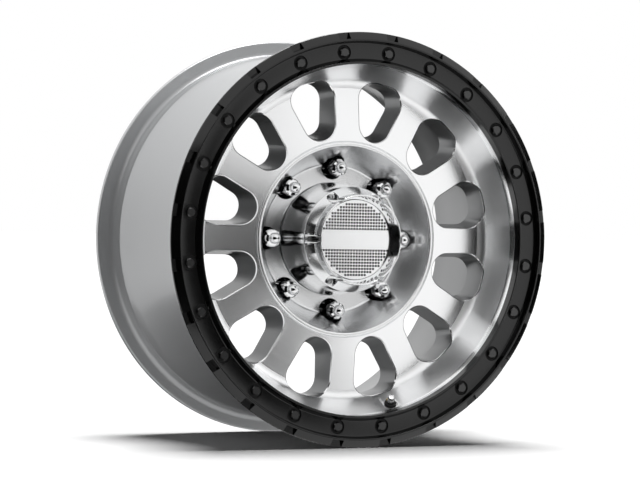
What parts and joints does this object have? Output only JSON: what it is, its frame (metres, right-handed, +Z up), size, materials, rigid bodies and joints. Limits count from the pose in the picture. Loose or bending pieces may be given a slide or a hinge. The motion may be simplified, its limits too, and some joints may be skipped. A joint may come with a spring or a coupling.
{
  "type": "truck wheel",
  "caption": "Cast alloy truck wheel with spokes, a bolted black lip ring, closed lug nuts, a tall plated centre cap and a tyre valve.",
  "frame": {"origin": "centre of the hub mounting face, on the wheel axis", "axes": "Y along the wheel axis, +Y towards the vehicle and the outer face along -Y, +Z up"},
  "size_m": [0.4712, 0.2437, 0.4712],
  "materials": {
    "cast_wheel": "machined bright face, satin silver paint on the barrel",
    "black_ring": "satin black coat",
    "black_bolt": "satin black",
    "plated_nut": "bright plated",
    "plated_cap": "bright plated",
    "dimpled_face": "bright dimpled",
    "steel_screw": "plain",
    "valve_rubber": "matt",
    "valve_brass": "plain",
    "valve_metal": "satin"
  },
  "bodies": {
    "root": {"wheel": "cast_wheel", "bead_ring": "black_ring", "ring_bolts": "black_bolt", "lug_nuts": "plated_nut", "cap_base": "plated_cap", "cap_cover": "plated_cap", "cap_face": "dimpled_face", "cap_screws": "steel_screw", "valve_stem": "valve_rubber", "valve_tube": "valve_brass", "valve_core": "valve_brass", "valve_cap": "valve_metal"}
  },
  "joints": []
}
